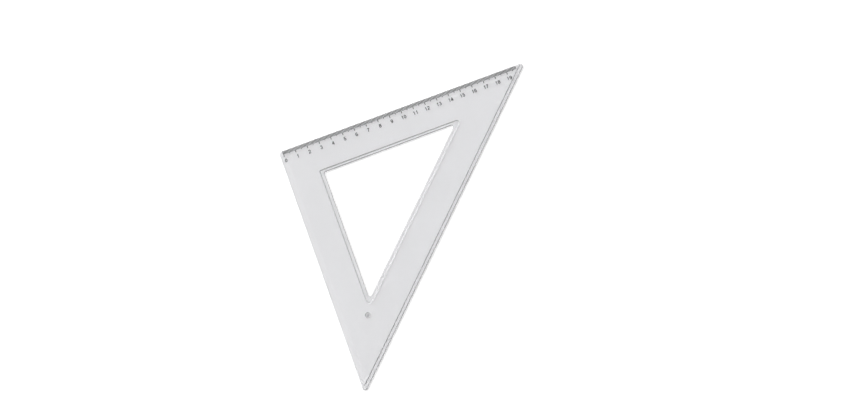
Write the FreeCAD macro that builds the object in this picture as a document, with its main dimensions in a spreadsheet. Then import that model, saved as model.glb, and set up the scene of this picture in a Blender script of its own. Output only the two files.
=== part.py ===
import FreeCAD, Part
import math
import os
import re

import Sketcher

# A 45 degree set square, moulded in one piece of clear plastic, with a printed centimetre
# scale along one leg. It lies on its flat underside. Seen from above, the right-angle
# corner is at the upper left, the scale leg runs to the right and the plain leg runs down.
# All sizes are in millimetres. Every place on the plate is given by two distances: across,
# measured to the right from the plain leg's edge, and down, measured from the scale edge.

SIZES = {
    # the plate: both legs are measured to the sharp points where the edges would meet
    "leg_length": 210.0,
    "plate_thickness": 2.0,
    "corner_radius": 3.0,
    "tip_radius": 2.0,
    # the window leaves a band along each side, a little wider along the hypotenuse
    "leg_band_width": 28.6,
    "hypotenuse_band_width": 29.4,
    "window_radius": 1.5,
    # the thin lip that runs along the hypotenuse and round both tips, and the one round the
    # window, which has its own width on each of the window's three sides
    "edge_lip_width": 3.0,
    "scale_side_lip_width": 2.3,
    "plain_side_lip_width": 3.2,
    "hypotenuse_side_lip_width": 3.1,
    "lip_thickness": 1.0,
    "lip_cove_radius": 0.85,
    # the land's corners round the window
    "land_inner_radius": 1.2,
    "land_scale_radius": 2.0,
    "land_lower_radius": 3.0,
    # the land's noses at both tips
    "scale_nose_radius": 1.2,
    "nose_overhang": 0.3,
    # the land's nose at the lower end is drawn in from the plain leg's edge
    "lower_nose_radius": 1.0,
    "lower_nose_inset": 1.6,
    "lower_nose_taper": 14.0,
    "lower_nose_cover_radius": 2.6,
    # the two legs are bevelled down to a thinner edge
    "bevel_width": 4.7,
    "bevel_edge_thickness": 1.25,
    # small rounds on the outer rim, on the window's and on the edges of the two legs
    "rim_round": 0.7,
    "window_rim_round": 0.5,
    "leg_edge_round": 0.25,
    # the mark that the mould's gate leaves under the window's lower corner, given by how far
    # it lies below that corner and outside the line of the window's upright side
    "gate_drop": 12.0,
    "gate_offset": 5.4,
    "gate_recess_radius": 2.3,
    "gate_recess_depth": 0.5,
    "gate_recess_round": 0.45,
    "gate_nub_radius": 0.8,
    "gate_nub_drop": 0.1,
    # the printed scale: how far each mark lies from the scale edge, and where zero is
    "ink_thickness": 0.04,
    "mark_width": 0.5,
    "mark_start": 0.3,
    "millimetre_mark_end": 3.4,
    "half_centimetre_mark_end": 4.1,
    "centimetre_mark_end": 5.3,
    "zero_offset": 3.0,
    "millimetre_pitch": 1.0,
    # how far a cutting shape runs past the plate, and how far it stays off a cove
    "cut_overrun": 5.0,
    "cove_clearance": 0.1,
}

# how many marks there are: the scale ends before the tip, in the middle of a half centimetre
CENTIMETRE_COUNT = 20
FULL_HALF_COUNT = 39
SHORT_MARK_COUNT = 4
LAST_MARK_COUNT = 3

# how far from an edge its surroundings are probed, as a share of the lip's thickness
PROBE_SHARE = 0.05

doc = FreeCAD.newDocument("set_square")
sheet = doc.addObject("Spreadsheet::Sheet", "sizes")


def fill_sheet():
    """Writes each driving size into the sheet under its own name."""
    for row, (name, size) in enumerate(SIZES.items(), start=1):
        sheet.set(f"A{row}", name)
        sheet.set(f"B{row}", str(size))
        sheet.setAlias(f"B{row}", name)
    doc.recompute()


def in_sheet(text):
    """An expression in the names of the sizes, written as the document reads it."""
    names = "|".join(sorted(SIZES, key=len, reverse=True))
    return re.sub(rf"\b({names})\b", r"sizes.\1", text)


def value(text):
    """The number that an expression in the names of the sizes has now."""
    return float(sheet.evalExpression(in_sheet(text)))


def bind(feature, prop, text):
    """Ties one property of a feature to the sheet."""
    feature.setExpression(prop, in_sheet(text))


# Sketches


def add_body(name):
    """A body whose origin is the sharp point of the plate's right-angle corner."""
    body = doc.addObject("PartDesign::Body", name)
    body.Label = name
    return body


def centre_on_origin(body):
    """Places a body so that the middle of the whole plate's box is at the origin."""
    half_span = "(leg_length - sqrt(2) * tip_radius) / 2"
    bind(body, "Placement.Base.x", f"-{half_span}")
    bind(body, "Placement.Base.y", half_span)


def origin_part(body, role):
    """One of a body's own origin planes or axes."""
    return next(item for item in body.Origin.OriginFeatures if item.Role == role)


def add_sketch(body, name, role="XY_Plane", offset="0"):
    """An empty sketch on one of the body's origin planes, moved along its normal."""
    sketch = body.newObject("Sketcher::SketchObject", name)
    sketch.AttachmentSupport = [(origin_part(body, role), "")]
    sketch.MapMode = "FlatFace"
    bind(sketch, "AttachmentOffset.Base.z", offset)
    return sketch


def dimension(sketch, kind, geometry, text):
    """Adds a dimension to a sketch and ties it to the sheet."""
    index = sketch.addConstraint(Sketcher.Constraint(kind, *geometry, value(text)))
    bind(sketch, f"Constraints[{index}]", text)


def pin(sketch, geometry, point, right, up):
    """Fixes a point of a sketch at signed distances from the sketch's origin."""
    for kind, axis, text in (("DistanceX", -2, right), ("DistanceY", -1, up)):
        size = value(text)
        if size == 0:
            sketch.addConstraint(Sketcher.Constraint("PointOnObject", geometry, point, axis))
        elif size > 0:
            dimension(sketch, kind, (-1, 1, geometry, point), text)
        else:
            dimension(sketch, kind, (geometry, point, -1, 1), f"-({text})")


def polygon(sketch, corners):
    """A closed outline of straight runs through pinned corners."""
    points = [FreeCAD.Vector(value(right), value(up), 0) for right, up in corners]
    count = len(points)
    first = sketch.GeometryCount
    for i in range(count):
        sketch.addGeometry(Part.LineSegment(points[i], points[(i + 1) % count]))
    for i, (right, up) in enumerate(corners):
        before = first + (i - 1) % count
        sketch.addConstraint(Sketcher.Constraint("Coincident", before, 2, first + i, 1))
        pin(sketch, first + i, 1, right, up)


def corner_arc(before, corner, after, radius):
    """The arc that rounds a corner between two straight runs, and its two end points."""
    back = (before - corner).normalize()
    ahead = (after - corner).normalize()
    half_angle = back.getAngle(ahead) / 2
    reach = radius / math.tan(half_angle)
    middle = corner + (back + ahead).normalize() * (radius / math.sin(half_angle))
    start, end = corner + back * reach, corner + ahead * reach
    circle = Part.Circle(middle, FreeCAD.Vector(0, 0, 1), radius)
    arc = Part.ArcOfCircle(circle, circle.parameter(start), circle.parameter(end))
    return arc, start, end


def rounded_outline(sketch, corners):
    """A closed outline with tangent arcs at its corners, in counter-clockwise order.
    Each corner has its sharp point's distances across and down, and a radius."""
    points = [FreeCAD.Vector(value(across), -value(down), 0) for across, down, _ in corners]
    count = len(points)
    arcs = [
        corner_arc(points[i - 1], points[i], points[(i + 1) % count], value(corners[i][2]))
        for i in range(count)
    ]
    lines = [
        sketch.addGeometry(Part.LineSegment(arcs[i][2], arcs[(i + 1) % count][1]))
        for i in range(count)
    ]
    for i, (across, down, radius) in enumerate(corners):
        arc = sketch.addGeometry(arcs[i][0])
        sharp = sketch.addGeometry(Part.Point(points[i]), True)
        pin(sketch, sharp, 1, across, f"-({down})")
        sketch.addConstraint(Sketcher.Constraint("PointOnObject", sharp, 1, lines[i]))
        sketch.addConstraint(Sketcher.Constraint("PointOnObject", sharp, 1, lines[i - 1]))
        sketch.addConstraint(Sketcher.Constraint("Tangent", lines[i - 1], 2, arc, 1))
        sketch.addConstraint(Sketcher.Constraint("Tangent", arc, 2, lines[i], 1))
        dimension(sketch, "Radius", (arc,), radius)


def circle(sketch, across, down, radius):
    """A circle at distances across and down."""
    middle = FreeCAD.Vector(value(across), -value(down), 0)
    ring = sketch.addGeometry(Part.Circle(middle, FreeCAD.Vector(0, 0, 1), value(radius)))
    pin(sketch, ring, 3, across, f"-({down})")
    dimension(sketch, "Radius", (ring,), radius)


# Features


def pad(body, sketch, length, reverse=False):
    """A pad of a sketch, with its length tied to the sheet."""
    feature = body.newObject("PartDesign::Pad", f"{sketch.Name}_pad")
    feature.Profile = sketch
    feature.Reversed = reverse
    bind(feature, "Length", length)
    doc.recompute()
    return feature


def pocket(body, sketch, depth, reverse=False):
    """A pocket of a sketch, which has to take material away."""
    volume = body.Tip.Shape.Volume
    feature = body.newObject("PartDesign::Pocket", f"{sketch.Name}_pocket")
    feature.Profile = sketch
    feature.Reversed = reverse
    bind(feature, "Length", depth)
    doc.recompute()
    if feature.Shape.Volume >= volume:
        raise ValueError(f"{feature.Name} cuts nothing")


def round_edges(body, name, names, radius):
    """Rounds the named edges of the body as it is now."""
    base = body.Tip
    feature = body.newObject("PartDesign::Fillet", name)
    feature.Base = (base, names)
    bind(feature, "Radius", radius)
    doc.recompute()


def add_row(body, count, pitch):
    """A pattern along the scale edge, which is given its originals afterwards."""
    pattern = body.newObject("PartDesign::LinearPattern", f"{body.Name}_row")
    pattern.Direction = (origin_part(body, "X_Axis"), [""])
    pattern.Mode = "Spacing"
    pattern.Occurrences = count
    bind(pattern, "Offset", pitch)
    return pattern


# Edges


def beside(edge, shape, rise):
    """Whether there is material on the left and on the right of an edge's middle, at a
    small height above it, or below it where the rise is negative."""
    parameter = (edge.FirstParameter + edge.LastParameter) / 2
    point, along = edge.valueAt(parameter), edge.tangentAt(parameter)
    reach = PROBE_SHARE * value("lip_thickness")
    side = FreeCAD.Vector(-along.y, along.x, 0).normalize() * reach
    lift = FreeCAD.Vector(0, 0, rise * reach)
    return [shape.isInside(point + step + lift, reach / 100, True) for step in (side, -side)]


def level_edges(shape, text):
    """The names and edges of a shape that lie level at a height."""
    height = value(text)
    near = PROBE_SHARE * PROBE_SHARE * value("lip_thickness")
    for i, edge in enumerate(shape.Edges, start=1):
        if all(abs(vertex.Z - height) < near for vertex in edge.Vertexes):
            if edge.BoundBox.ZLength < near:
                yield f"Edge{i}", edge


def foot_edges(shape, height):
    """Level edges with a wall standing on one side of them."""
    return [name for name, edge in level_edges(shape, height) if any(beside(edge, shape, 1))]


def rim_edges(shape, height):
    """Level edges where the surface ends and a wall drops away."""
    for name, edge in level_edges(shape, height):
        if not all(beside(edge, shape, -1)) and not any(beside(edge, shape, 1)):
            yield name, edge


def window_rim(shape):
    """The rim of the lip round the window, which lies clear of both legs' bands."""
    clear = value("leg_band_width / 2")
    return [
        name
        for name, edge in rim_edges(shape, "lip_thickness")
        if all(min(vertex.X, -vertex.Y) > clear for vertex in edge.Vertexes)
    ]


# The moulded plate


def plate_outline():
    """The corners of the whole plate."""
    return [
        ("0", "0", "corner_radius"),
        ("0", "leg_length", "tip_radius"),
        ("leg_length", "0", "tip_radius"),
    ]


def inset_triangle(from_plain, from_scale, from_hypotenuse, radii):
    """The corners of a triangle set in by its own width from each of the three sides. The
    radii are given from the right-angle corner on, round by the lower end."""
    reach = f"leg_length - sqrt(2) * ({from_hypotenuse})"
    return [
        (from_plain, from_scale, radii[0]),
        (from_plain, f"{reach} - ({from_plain})", radii[1]),
        (f"{reach} - ({from_scale})", from_scale, radii[2]),
    ]


def land_outline():
    """The corners of the raised land. Its hypotenuse side stands back from the plate's edge
    by the lip, and its two legs overhang the plate, so that the nose at the scale's end is
    blunt. The nose at the lower end lies inside the plate's edge."""
    reach = "leg_length - sqrt(2) * edge_lip_width"
    return [
        ("-nose_overhang", "-nose_overhang", "corner_radius"),
        ("-nose_overhang", f"{reach} - lower_nose_taper", "corner_radius"),
        ("lower_nose_inset", f"{reach} - lower_nose_inset", "lower_nose_radius"),
        (f"{reach} + nose_overhang", "-nose_overhang", "scale_nose_radius"),
    ]


def cover_outline():
    """The corners of a block that covers the land and its cove."""
    widening = "(lip_cove_radius + cove_clearance)"
    out = f"(nose_overhang + {widening})"
    far = f"leg_length - sqrt(2) * (edge_lip_width - {widening}) + {out}"
    return [
        (f"-{out}", f"-{out}", "corner_radius"),
        (f"-{out}", far, "lower_nose_cover_radius"),
        (far, f"-{out}", f"scale_nose_radius + {widening}"),
    ]


def cut_lips(body):
    """Lowers the strip along the hypotenuse and the strip round the window."""
    step = "plate_thickness - lip_thickness"
    edge_lip = add_sketch(body, "edge_lip", offset="plate_thickness")
    reach = "leg_length + cut_overrun"
    polygon(edge_lip, [
        ("-cut_overrun", "cut_overrun"),
        ("-cut_overrun", f"-({reach})"),
        (reach, f"-({reach})"),
        (reach, "cut_overrun"),
    ])
    rounded_outline(edge_lip, land_outline())
    pocket(body, edge_lip, step)
    window_lip = add_sketch(body, "window_lip", offset="plate_thickness")
    rounded_outline(window_lip, inset_triangle(
        "leg_band_width - plain_side_lip_width",
        "leg_band_width - scale_side_lip_width",
        "hypotenuse_band_width - hypotenuse_side_lip_width",
        ("land_inner_radius", "land_lower_radius", "land_scale_radius"),
    ))
    pocket(body, window_lip, step)


def cut_window(body):
    """Opens the triangular window."""
    window = add_sketch(body, "window", offset="plate_thickness")
    bands = ("leg_band_width", "leg_band_width", "hypotenuse_band_width")
    rounded_outline(window, inset_triangle(*bands, ["window_radius"] * len(bands)))
    pocket(body, window, "plate_thickness")


def cut_bevels(body, lift="0"):
    """Slopes the top down to the edge along both legs, which meet in a mitre. The lift
    raises both slopes."""
    slope = "(plate_thickness - bevel_edge_thickness) / bevel_width"
    ridge = f"plate_thickness + {lift}"
    for side, role, outward in (("scale", "YZ_Plane", ""), ("plain", "XZ_Plane", "-")):
        sketch = add_sketch(body, f"{body.Name}_{side}_bevel", role)
        out = f"{outward}cut_overrun"
        inner = "bevel_width" if outward else "-bevel_width"
        polygon(sketch, [
            (inner, ridge),
            (out, f"bevel_edge_thickness + {lift} - cut_overrun * {slope}"),
            (out, f"{ridge} + cut_overrun"),
            (inner, f"{ridge} + cut_overrun"),
        ])
        pocket(body, sketch, "leg_length + cut_overrun", reverse=True)


def add_gate_mark(body):
    """A round recess with a low nub in its middle, where the plastic entered the mould."""
    across = "leg_band_width - gate_offset"
    down = "leg_length - sqrt(2) * hypotenuse_band_width - leg_band_width + gate_drop"
    recess = add_sketch(body, "gate_recess", offset="plate_thickness")
    circle(recess, across, down, "gate_recess_radius")
    pocket(body, recess, "gate_recess_depth")
    feet = foot_edges(body.Tip.Shape, "plate_thickness - gate_recess_depth")
    round_edges(body, "gate_recess_fillet", feet, "gate_recess_round")
    nub = add_sketch(body, "gate_nub", offset="plate_thickness - gate_nub_drop")
    circle(nub, across, down, "gate_nub_radius")
    pad(body, nub, "gate_recess_depth - gate_nub_drop", reverse=True)


def make_rim_envelope():
    """A low block with the plate's outline and a rounded rim, and over it a tall block that
    covers the land and its cove. The plate keeps only what lies inside the two."""
    envelope = add_body("rim_envelope")
    low = add_sketch(envelope, "low_block", offset="lip_thickness")
    rounded_outline(low, plate_outline())
    pad(envelope, low, "lip_thickness + cut_overrun", reverse=True)
    rim = [name for name, _ in rim_edges(envelope.Tip.Shape, "lip_thickness")]
    round_edges(envelope, "rim_fillet", rim, "rim_round")
    tall = add_sketch(envelope, "tall_block", offset="-cut_overrun")
    rounded_outline(tall, cover_outline())
    pad(envelope, tall, "plate_thickness + 2 * cut_overrun")
    return envelope


def make_plate():
    """The whole moulding: plate, lips, window, coves, bevels, rounds and gate mark."""
    body = add_body("moulded_plate")
    centre_on_origin(body)
    outline = add_sketch(body, "outline")
    rounded_outline(outline, plate_outline())
    pad(body, outline, "plate_thickness")
    cut_lips(body)
    cut_window(body)
    round_edges(body, "lip_coves", foot_edges(body.Tip.Shape, "lip_thickness"), "lip_cove_radius")
    cut_bevels(body)
    round_edges(body, "window_fillet", window_rim(body.Tip.Shape), "window_rim_round")
    leg_edges = [name for name, _ in rim_edges(body.Tip.Shape, "bevel_edge_thickness")]
    round_edges(body, "leg_fillet", leg_edges, "leg_edge_round")
    add_gate_mark(body)
    rimmed = body.newObject("PartDesign::Boolean", "rimmed_plate")
    rimmed.setObjects([make_rim_envelope()])
    rimmed.Type = "Common"
    doc.recompute()
    return body


# The printed scale


def bevelled_block(name, lift):
    """A square block with the plate's flat top and both bevels, all raised by the lift."""
    block = add_body(name)
    centre_on_origin(block)
    square = add_sketch(block, f"{name}_square")
    polygon(square, [
        ("0", "-leg_length"),
        ("leg_length", "-leg_length"),
        ("leg_length", "0"),
        ("0", "0"),
    ])
    pad(block, square, f"plate_thickness + {lift}")
    cut_bevels(block, lift)
    return block


def make_ink_film():
    """The room for ink: a film of even height over the flat top and both bevels."""
    film = doc.addObject("Part::Cut", "ink_film")
    film.Base = bevelled_block("ink_top", "ink_thickness")
    film.Tool = bevelled_block("ink_foot", "0")
    doc.recompute()
    return film


def add_blade(body, name, offset, end):
    """One mark before it is trimmed: an upright blade that ends above the plate's top."""
    sketch = add_sketch(body, name, offset="bevel_edge_thickness / 2")
    left = f"zero_offset + {offset} - mark_width / 2"
    right = f"zero_offset + {offset} + mark_width / 2"
    polygon(sketch, [
        (left, f"-{end}"),
        (right, f"-{end}"),
        (right, "-mark_start"),
        (left, "-mark_start"),
    ])
    return pad(body, sketch, "plate_thickness")


def repeat(body, blade, rows):
    """Repeats a blade in one row, or in a row of rows."""
    patterns = [add_row(body, count, pitch) for count, pitch in rows]
    if len(patterns) == 1:
        patterns[0].Originals = [blade]
        body.Tip = patterns[0]
    else:
        grid = body.newObject("PartDesign::MultiTransform", f"{blade.Name}_grid")
        grid.Originals = [blade]
        grid.Transformations = patterns
        body.Tip = grid
    doc.recompute()


def make_marks(name, film, end, runs):
    """Printed marks of one length. Each run has its first mark's distance from zero and
    its rows. What the film of ink shares with the blades is what is printed."""
    body = add_body(f"{name}_blades")
    centre_on_origin(body)
    for i, (offset, rows) in enumerate(runs):
        blade = add_blade(body, f"{name}_run_{i}", offset, end)
        repeat(body, blade, rows)
    printed = doc.addObject("Part::Common", name)
    printed.Label = name
    printed.Base = body
    printed.Tool = film
    doc.recompute()
    return printed


def make_scale():
    """All three lengths of mark on the scale edge."""
    film = make_ink_film()
    short_pitch = "millimetre_pitch"
    half_pitch = f"({SHORT_MARK_COUNT} * {short_pitch} + {short_pitch})"
    long_pitch = f"2 * {half_pitch}"
    full_halves = [(SHORT_MARK_COUNT, short_pitch), (FULL_HALF_COUNT, half_pitch)]
    last_offset = f"{FULL_HALF_COUNT} * {half_pitch} + {short_pitch}"
    return [
        make_marks("millimetre_marks", film, "millimetre_mark_end", [
            (short_pitch, full_halves),
            (last_offset, [(LAST_MARK_COUNT, short_pitch)]),
        ]),
        make_marks("half_centimetre_marks", film, "half_centimetre_mark_end", [
            (half_pitch, [(CENTIMETRE_COUNT, long_pitch)]),
        ]),
        make_marks("centimetre_marks", film, "centimetre_mark_end", [
            ("0", [(CENTIMETRE_COUNT, long_pitch)]),
        ]),
    ]


# The build


def check(nodes):
    """Stops the build where a feature failed or a sub-part's shape is unsound."""
    failed = [item.Name for item in doc.Objects if {"Invalid", "Error"} & set(item.State)]
    unsound = [node.Label for node in nodes if node.Shape.isNull() or not node.Shape.isValid()]
    if failed or unsound:
        raise RuntimeError(f"failed: {failed}, unsound: {unsound}")


fill_sheet()
nodes = [make_plate()] + make_scale()
doc.recompute()
check(nodes)
os.makedirs("parts", exist_ok=True)
for node in nodes:
    node.Shape.exportStep(f"parts/{node.Label}.step")
    print(node.Label, len(node.Shape.Solids), node.Shape.Volume, node.Shape.BoundBox)
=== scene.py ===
import math

import bmesh
import bpy
from mathutils import Matrix, Vector


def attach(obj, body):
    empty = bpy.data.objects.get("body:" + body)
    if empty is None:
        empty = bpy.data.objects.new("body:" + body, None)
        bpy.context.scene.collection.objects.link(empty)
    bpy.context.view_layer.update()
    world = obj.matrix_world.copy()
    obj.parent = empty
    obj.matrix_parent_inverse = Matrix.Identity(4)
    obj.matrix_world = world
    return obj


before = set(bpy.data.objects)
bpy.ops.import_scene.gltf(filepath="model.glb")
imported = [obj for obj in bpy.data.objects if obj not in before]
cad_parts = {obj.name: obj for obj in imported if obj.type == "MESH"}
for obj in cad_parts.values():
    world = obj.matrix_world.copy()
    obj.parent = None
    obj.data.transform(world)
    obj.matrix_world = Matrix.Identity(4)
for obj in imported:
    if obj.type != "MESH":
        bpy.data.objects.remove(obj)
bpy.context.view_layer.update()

# Sizes in metres, as the model has them
LEG = 0.210
TIP_RADIUS = 0.002
TOP = 0.002
LIP_TOP = 0.001
BEVEL_WIDTH = 0.0047
BEVEL_EDGE_TOP = 0.00125
INK = 0.00004
ZERO_OFFSET = 0.003
CENTIMETRE = 0.010
HALF_SPAN = (LEG - math.sqrt(2) * TIP_RADIUS) / 2


def on_plate(across, down, height):
    """A point at a distance across from the plain edge and down from the scale edge."""
    return Vector((across - HALF_SPAN, HALF_SPAN - down, height))


def top_at(across):
    """The top's height at a distance from the plain edge, on its bevel or on the land."""
    return TOP - max(0, 1 - across / BEVEL_WIDTH) * (TOP - BEVEL_EDGE_TOP)


# Camera

CAMERA_PLACE = Vector((-0.02127, -0.53706, 1.8804))
CAMERA_AIM = Vector((-0.00715, 0.01996, 0.0))
CAMERA_UP = Vector((0.34594, 0.89891, 0.26888))
CAMERA_LENS = 104.515
CAMERA_REACH = 20


def add_camera():
    """The photograph's view: nearly from above, with the scale edge rising to the right."""
    data = bpy.data.cameras.new("camera")
    data.lens = CAMERA_LENS
    data.clip_end = CAMERA_REACH
    camera = bpy.data.objects.new("camera", data)
    bpy.context.scene.collection.objects.link(camera)
    back = (CAMERA_PLACE - CAMERA_AIM).normalized()
    right = CAMERA_UP.cross(back).normalized()
    up = back.cross(right)
    turn = Matrix((right, up, back)).transposed()
    camera.matrix_world = Matrix.Translation(CAMERA_PLACE) @ turn.to_4x4()
    bpy.context.scene.camera = camera


# Materials


class Nodes:
    """A material's node tree with short ways to add and join nodes."""

    def __init__(self, tree):
        self.tree = tree
        tree.nodes.clear()

    def add(self, kind, **settings):
        node = self.tree.nodes.new(kind)
        for name, setting in settings.items():
            setattr(node, name, setting)
        return node

    def join(self, output, socket):
        self.tree.links.new(output, socket)


def new_material(name):
    """An empty node material."""
    material = bpy.data.materials.new(name)
    material.use_nodes = True
    return material, Nodes(material.node_tree)


# The plastic's shine, and the faint waves that a mould leaves in it
PLASTIC_ROUGHNESS = 0.03
PLASTIC_IOR = 1.49
WAVE_SCALE = 60
WAVE_DETAIL = 2
WAVE_STRENGTH = 0.02
WAVE_DEPTH = 0.0005
BLUE_SHARE = 1.014

# How grey the plastic is, and how clear, from its upright walls (0) to its level faces (1).
# The rims' darker grey is painted shade, for dark lines along the rounded edges whichever
# way the light falls, and the bevels' lighter grey is a painted reflection.
# The rims lie below the lip's top, the coves above it.
BODY_TINT = 0.887
# Painted reflection: the near-level bevels are a lighter grey than the body, as if they
# mirrored a brighter part of the room.
BEVEL_PAINTED_REFLECTION_TINT = 0.95
LEVEL_TINTS_WITH_PAINTED_REFLECTION = [(0.98, BEVEL_PAINTED_REFLECTION_TINT), (0.998, BODY_TINT)]
# Painted shade: the darker grey on the rims' steep parts stands in for the dark lines along the
# plastic's rounded edges.
RIM_TINT_WITH_PAINTED_SHADE = [(0.0, 0.9), (0.6, 0.55), (0.93, 0.45), *LEVEL_TINTS_WITH_PAINTED_REFLECTION]
RIM_CLEARNESS = [(0.0, 0.9), (0.6, 0.6), (0.93, 0.5), (0.98, 1.0)]
COVE_TINT = [(0.0, 0.65), (0.93, 0.75), *LEVEL_TINTS_WITH_PAINTED_REFLECTION]
COVE_CLEARNESS = [(0.0, 0.2), (0.8, 0.2), (0.98, 1.0)]

# The scar that the gate leaves, across and down on the plate, and the clear spot in it.
# The scar is real frosting, and its darker grey, widest on its -x, +y side, is painted shade of
# the recess.
GATE = (0.0232, 0.1518)
SCAR_RADIUS = 0.0022
SCAR_BLUR = 0.0008
# Painted shade: the clear spot's shift leaves the scar widest on its -x, +y side, where the
# recess is in shade.
SPOT_SHIFT_FOR_PAINTED_SHADE = 0.0004
SPOT_RADIUS = 0.0013
# The scar's darker grey is partly its real frosting and partly painted shade in the recess.
SCAR_TINT_WITH_PAINTED_SHADE = 0.65
SCAR_CLEARNESS = 0.4


def grey(level):
    """A neutral grey with a trace of blue, as the clear plastic has."""
    return (level, level, level * BLUE_SHARE, 1)


def add_ramp(nodes, slope, levels):
    """A colour ramp of greys over the slope."""
    ramp = nodes.add("ShaderNodeValToRGB")
    stops = ramp.color_ramp.elements
    while len(stops) < len(levels):
        stops.new(1)
    for stop, (position, level) in zip(stops, levels):
        stop.position = position
        stop.color = grey(level)
    nodes.join(slope, ramp.inputs["Fac"])
    return ramp.outputs["Color"]


def add_mix(nodes, share, first, second):
    """A blend of two colours, each an output or a level of grey."""
    mix = nodes.add("ShaderNodeMixRGB")
    nodes.join(share, mix.inputs["Fac"])
    for colour, socket in ((first, mix.inputs["Color1"]), (second, mix.inputs["Color2"])):
        if isinstance(colour, float):
            socket.default_value = grey(colour)
        else:
            nodes.join(colour, socket)
    return mix.outputs["Color"]


def add_disc(nodes, place, centre, radius):
    """1 inside a disc, seen from above, and 0 outside it, with a soft edge."""
    apart = nodes.add("ShaderNodeVectorMath", operation="DISTANCE")
    nodes.join(place, apart.inputs[0])
    apart.inputs[1].default_value = centre
    edge = nodes.add("ShaderNodeMapRange")
    edge.inputs["From Min"].default_value = radius - SCAR_BLUR / 2
    edge.inputs["From Max"].default_value = radius + SCAR_BLUR / 2
    edge.inputs["To Min"].default_value = 1
    edge.inputs["To Max"].default_value = 0
    nodes.join(apart.outputs["Value"], edge.inputs["Value"])
    return edge.outputs["Result"]


def add_scar(nodes, place):
    """1 on the gate's scar, 0 elsewhere and on the clear spot in it. The spot is off-centre,
    so the scar is widest on one side: painted shade.
    """
    centre = on_plate(*GATE, TOP)
    beside = centre + Vector((SPOT_SHIFT_FOR_PAINTED_SHADE, -SPOT_SHIFT_FOR_PAINTED_SHADE, 0))
    rest = nodes.add("ShaderNodeMath", operation="SUBTRACT", use_clamp=True)
    nodes.join(add_disc(nodes, place, centre, SCAR_RADIUS), rest.inputs[0])
    nodes.join(add_disc(nodes, place, beside, SPOT_RADIUS), rest.inputs[1])
    return rest.outputs[0]


def clear_plastic():
    """Glossy clear plastic, slightly grey. Its rounds, coves and steps are a little frosted,
    so that they catch the light on one side and look dark on the other. The rounds are
    also a darker grey, painted shade for dark edge lines, and the near-level bevels a
    lighter grey, a painted reflection. The scar that the gate leaves is frosted too, with
    painted shade in it that is widest on one side."""
    material, nodes = new_material("clear_plastic")
    place = nodes.add("ShaderNodeTexCoord")
    facing = nodes.add("ShaderNodeSeparateXYZ")
    nodes.join(place.outputs["Normal"], facing.inputs[0])
    level = nodes.add("ShaderNodeMath", operation="ABSOLUTE")
    nodes.join(facing.outputs["Z"], level.inputs[0])
    waves = nodes.add("ShaderNodeTexNoise")
    waves.inputs["Scale"].default_value = WAVE_SCALE
    waves.inputs["Detail"].default_value = WAVE_DETAIL
    nodes.join(place.outputs["Object"], waves.inputs["Vector"])
    bump = nodes.add("ShaderNodeBump")
    bump.inputs["Strength"].default_value = WAVE_STRENGTH
    bump.inputs["Distance"].default_value = WAVE_DEPTH
    nodes.join(waves.outputs["Fac"], bump.inputs["Height"])
    plastic = nodes.add("ShaderNodeBsdfPrincipled")
    spot = nodes.add("ShaderNodeSeparateXYZ")
    nodes.join(place.outputs["Object"], spot.inputs[0])
    above = nodes.add("ShaderNodeMapRange")
    above.inputs["From Min"].default_value = LIP_TOP
    above.inputs["From Max"].default_value = LIP_TOP + INK
    nodes.join(spot.outputs["Z"], above.inputs["Value"])
    # The scar's mask, with painted shade widest on its -x, +y side.
    scar = add_scar(nodes, place.outputs["Object"])
    for rim, cove, scarred, socket in (
        (RIM_TINT_WITH_PAINTED_SHADE, COVE_TINT, SCAR_TINT_WITH_PAINTED_SHADE, "Base Color"),
        (RIM_CLEARNESS, COVE_CLEARNESS, SCAR_CLEARNESS, "Transmission Weight"),
    ):
        ramps = [add_ramp(nodes, level.outputs[0], levels) for levels in (rim, cove)]
        frost_and_painted_shade = add_mix(nodes, above.outputs["Result"], *ramps)
        nodes.join(add_mix(nodes, scar, frost_and_painted_shade, scarred), plastic.inputs[socket])
    plastic.inputs["Roughness"].default_value = PLASTIC_ROUGHNESS
    plastic.inputs["IOR"].default_value = PLASTIC_IOR
    nodes.join(bump.outputs["Normal"], plastic.inputs["Normal"])
    out = nodes.add("ShaderNodeOutputMaterial")
    nodes.join(plastic.outputs["BSDF"], out.inputs["Surface"])
    return material


# Black from its darkest to its lightest grain
INK_BLACKS = ((0.012, 0.012, 0.014, 1), (0.035, 0.035, 0.038, 1))
INK_GRAIN = 4000
INK_ROUGHNESS = 0.45
INK_SHINE = 0.0


def printed_ink():
    """Black ink that lies a little unevenly."""
    material, nodes = new_material("ink")
    place = nodes.add("ShaderNodeTexCoord")
    grain = nodes.add("ShaderNodeTexNoise")
    grain.inputs["Scale"].default_value = INK_GRAIN
    nodes.join(place.outputs["Object"], grain.inputs["Vector"])
    shade = nodes.add("ShaderNodeValToRGB")
    for stop, black in zip(shade.color_ramp.elements, INK_BLACKS):
        stop.color = black
    nodes.join(grain.outputs["Fac"], shade.inputs["Fac"])
    ink = nodes.add("ShaderNodeBsdfPrincipled")
    ink.inputs["Roughness"].default_value = INK_ROUGHNESS
    ink.inputs["Specular IOR Level"].default_value = INK_SHINE
    nodes.join(shade.outputs["Color"], ink.inputs["Base Color"])
    out = nodes.add("ShaderNodeOutputMaterial")
    nodes.join(ink.outputs["BSDF"], out.inputs["Surface"])
    return material


# How much light the board gives back, and what is added where the camera sees it
BOARD = 0.7
FLOOR_LIFT = 0.45
WHITE = (1, 1, 1, 1)


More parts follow.
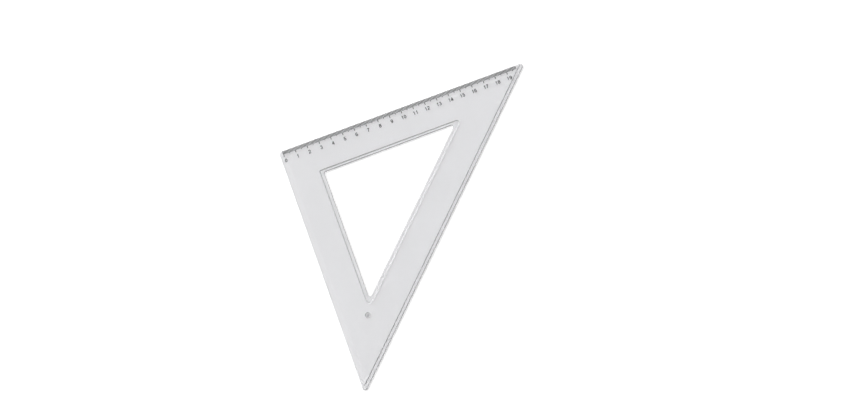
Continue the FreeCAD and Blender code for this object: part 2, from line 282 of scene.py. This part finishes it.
def add_sight(nodes):
    """Two outputs: 1 for what the camera sees, also in reflections and through the plastic,
    else 0, and how often the light has met a matt surface."""
    rays = nodes.add("ShaderNodeLightPath")
    sight = rays.outputs["Is Camera Ray"]
    for kind in ("Is Transmission Ray", "Is Glossy Ray"):
        either = nodes.add("ShaderNodeMath", operation="MAXIMUM")
        nodes.join(sight, either.inputs[0])
        nodes.join(rays.outputs[kind], either.inputs[1])
        sight = either.outputs[0]
    return sight, rays.outputs["Diffuse Depth"]


def white_floor():
    """White board. What the camera sees of it, also through the plastic, is lifted to white."""
    material, nodes = new_material("floor")
    board = nodes.add("ShaderNodeBsdfDiffuse")
    board.inputs["Color"].default_value = (BOARD, BOARD, BOARD, 1)
    sight, _ = add_sight(nodes)
    lift = nodes.add("ShaderNodeMath", operation="MULTIPLY")
    lift.inputs[1].default_value = FLOOR_LIFT
    nodes.join(sight, lift.inputs[0])
    glow = nodes.add("ShaderNodeEmission")
    nodes.join(lift.outputs[0], glow.inputs["Strength"])
    both = nodes.add("ShaderNodeAddShader")
    nodes.join(board.outputs["BSDF"], both.inputs[0])
    nodes.join(glow.outputs["Emission"], both.inputs[1])
    out = nodes.add("ShaderNodeOutputMaterial")
    nodes.join(both.outputs["Shader"], out.inputs["Surface"])
    return material


def give(obj, material):
    """Puts one material in every slot of an object."""
    if not obj.material_slots:
        obj.data.materials.append(material)
    for slot in obj.material_slots:
        slot.material = material


# Floor and light

FLOOR_DROP = 0.0003
FLOOR_REACH = 3.0


def add_floor():
    """A white board just under the plate."""
    shape = bmesh.new()
    corners = [(-1, -1), (1, -1), (1, 1), (-1, 1)]
    shape.faces.new([
        shape.verts.new((x * FLOOR_REACH, y * FLOOR_REACH, -FLOOR_DROP)) for x, y in corners
    ])
    mesh = bpy.data.meshes.new("floor")
    shape.to_mesh(mesh)
    shape.free()
    floor = bpy.data.objects.new("floor", mesh)
    bpy.context.scene.collection.objects.link(floor)
    give(floor, white_floor())


# Where the light comes from, how near to it (as a cosine) the sky brightens, and how bright
# it is. Together they light a level face at a strength of 1.
LIGHT_FROM = (-0.6, 0.85, 0.7)
LIGHT_SPAN = (0.65, 0.95)
LIGHT_LEVELS = (0.1, 4.61)
HALF_A_BOUNCE = 0.5


def light_world():
    """A wide soft light from the upper left and a dimmer room on the other side. The camera
    sees white instead, and what has met a matt surface on its way gets the room's light."""
    world = bpy.data.worlds.new("studio")
    world.use_nodes = True
    bpy.context.scene.world = world
    nodes = Nodes(world.node_tree)
    place = nodes.add("ShaderNodeTexCoord")
    along = nodes.add("ShaderNodeVectorMath", operation="DOT_PRODUCT")
    along.inputs[1].default_value = Vector(LIGHT_FROM).normalized()
    nodes.join(place.outputs["Generated"], along.inputs[0])
    ramp = nodes.add("ShaderNodeMapRange", interpolation_type="SMOOTHSTEP")
    ramp.inputs["From Min"].default_value, ramp.inputs["From Max"].default_value = LIGHT_SPAN
    ramp.inputs["To Min"].default_value, ramp.inputs["To Max"].default_value = LIGHT_LEVELS
    nodes.join(along.outputs["Value"], ramp.inputs["Value"])
    sky = nodes.add("ShaderNodeBackground")
    sky.inputs["Color"].default_value = WHITE
    nodes.join(ramp.outputs["Result"], sky.inputs["Strength"])
    seen = nodes.add("ShaderNodeBackground")
    seen.inputs["Color"].default_value = WHITE
    sight, bounces = add_sight(nodes)
    straight = nodes.add("ShaderNodeMath", operation="LESS_THAN")
    straight.inputs[1].default_value = HALF_A_BOUNCE
    nodes.join(bounces, straight.inputs[0])
    white = nodes.add("ShaderNodeMath", operation="MULTIPLY")
    nodes.join(sight, white.inputs[0])
    nodes.join(straight.outputs[0], white.inputs[1])
    pick = nodes.add("ShaderNodeMixShader")
    nodes.join(white.outputs[0], pick.inputs[0])
    nodes.join(sky.outputs["Background"], pick.inputs[1])
    nodes.join(seen.outputs["Background"], pick.inputs[2])
    out = nodes.add("ShaderNodeOutputWorld")
    nodes.join(pick.outputs["Shader"], out.inputs["Surface"])


# Numerals

NUMERAL_HEIGHT = 0.003
NUMERAL_TOP = 0.0072
NUMERAL_SHIFT = 0.0004
NUMERALS = 20

# The digits' shapes, in shares of their height: the box of a digit is 0.64 wide
STROKE = 0.165
FLAG_STROKE = 0.11
ADVANCE = 0.77
MIDDLE = 0.32
FOOT, HEAD = 0.075, 0.925
ARC_STEP = math.radians(12)
SHARPEST_TURN_SHARE = 0.5

# Points nearer than this share of a stroke's width or an ink's thickness are one point
SAME_PLACE_SHARE = 0.01


def arc(centre, reach, start, end):
    """Points along part of an ellipse, between two angles in degrees."""
    start, end = math.radians(start), math.radians(end)
    steps = max(2, round(abs(end - start) / ARC_STEP))
    angles = [start + (end - start) * i / steps for i in range(steps + 1)]
    return [
        Vector((centre[0] + reach[0] * math.cos(a), centre[1] + reach[1] * math.sin(a)))
        for a in angles
    ]


def ring(centre, reach):
    """A closed ellipse, whose last point is its first."""
    return arc(centre, reach, 0, 360)


def run(*points):
    """Straight runs through points."""
    return [Vector(point) for point in points]


def turned(lines):
    """Lines turned by half a turn about the middle of a digit's box."""
    return [[Vector((2 * MIDDLE, 1)) - point for point in line] for line in lines]


SIX = [
    ring((MIDDLE, 0.315), (0.245, 0.24)),
    arc((MIDDLE + 0.005, 0.5), (0.25, 0.425), 190, 35),
]
DIGITS = {
    "0": [ring((MIDDLE, 0.5), (0.235, 0.425))],
    "1": [run((0.42, 0), (0.42, 1)), arc((0.16, 0.93), (0.25, 0.2), -90, 0)],
    "2": [
        arc((MIDDLE, 0.68), (0.235, 0.245), 170, -25)
        + run((0.38, 0.4), (0.17, 0.24), (0.1, FOOT), (0.6, FOOT)),
    ],
    "3": [
        arc((MIDDLE, 0.725), (0.215, 0.2), 165, -90),
        arc((MIDDLE, 0.3), (0.245, 0.225), 90, -165),
    ],
    "4": [run((0.41, HEAD), (0.09, 0.3), (0.64, 0.3)), run((0.44, 0), (0.44, 1))],
    "5": [
        run((0.56, HEAD), (0.17, HEAD), (0.12, 0.47))
        + arc((MIDDLE, 0.325), (0.245, 0.25), 138, -165),
    ],
    "6": SIX,
    "7": [run((0.04, HEAD), (0.56, HEAD), (0.44, 0.7), (0.31, 0.4), (0.25, 0))],
    "8": [ring((MIDDLE, 0.73), (0.205, 0.195)), ring((MIDDLE, 0.305), (0.245, 0.23))],
    "9": turned(SIX),
}


def sideways(line, i, closed):
    """The offset of a stroke's edge from one of its points, for a stroke half of 1 wide."""
    count = len(line)
    before = line[i - 1] if i > 0 else (line[count - 2] if closed else None)
    after = line[i + 1] if i < count - 1 else (line[1] if closed else None)
    steps = [
        (b - a).normalized() for a, b in ((before, line[i]), (line[i], after)) if a and b
    ]
    sides = [Vector((-step.y, step.x)) for step in steps]
    middle = sum(sides, Vector((0, 0))).normalized()
    return middle / max(SHARPEST_TURN_SHARE, middle.dot(sides[0]))


def add_stroke(shape, line, width, place):
    """A flat bar of ink of one width along a line. The place gives a point's position on
    the plate's top or on the ink's."""
    closed = (line[0] - line[-1]).length < STROKE * SAME_PLACE_SHARE
    sections = []
    for i, point in enumerate(line):
        side = sideways(line, i, closed) * width / 2
        corners = (point + side, point - side)
        sections.append([
            shape.verts.new(place(corner, height)) for height in (0, INK) for corner in corners
        ])
    for one, two in zip(sections, sections[1:]):
        for a, b in ((0, 1), (1, 3), (3, 2), (2, 0)):
            shape.faces.new((one[a], one[b], two[b], two[a]))
    if not closed:
        for section in (sections[0], sections[-1]):
            shape.faces.new([section[i] for i in (0, 1, 3, 2)])


def add_numerals(ink):
    """Plain numbers under the centimetre marks, each a little to the right of its mark."""
    shape = bmesh.new()
    for number in range(NUMERALS):
        digits = str(number)
        width = ADVANCE * (len(digits) - 1) + 2 * MIDDLE
        middle = ZERO_OFFSET + number * CENTIMETRE + NUMERAL_SHIFT
        for i, digit in enumerate(digits):
            left = i * ADVANCE - width / 2

            def place(point, height, left=left, middle=middle):
                across = middle + (left + point.x) * NUMERAL_HEIGHT
                down = NUMERAL_TOP + (1 - point.y) * NUMERAL_HEIGHT
                return on_plate(across, down, top_at(across) + height)

            for j, line in enumerate(DIGITS[digit]):
                thin = digit == "1" and j == 1
                add_stroke(shape, line, FLAG_STROKE if thin else STROKE, place)
    bmesh.ops.remove_doubles(shape, verts=shape.verts, dist=INK * SAME_PLACE_SHARE)
    bmesh.ops.recalc_face_normals(shape, faces=shape.faces)
    mesh = bpy.data.meshes.new("numerals")
    shape.to_mesh(mesh)
    shape.free()
    numerals = bpy.data.objects.new("numerals", mesh)
    bpy.context.scene.collection.objects.link(numerals)
    give(numerals, ink)
    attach(numerals, "root")


plastic = clear_plastic()
ink = printed_ink()
give(bpy.data.objects["moulded_plate"], plastic)
for marks in ("millimetre_marks", "half_centimetre_marks", "centimetre_marks"):
    give(bpy.data.objects[marks], ink)
add_numerals(ink)
add_floor()
light_world()
add_camera()
bpy.context.scene.view_settings.view_transform = "Standard"
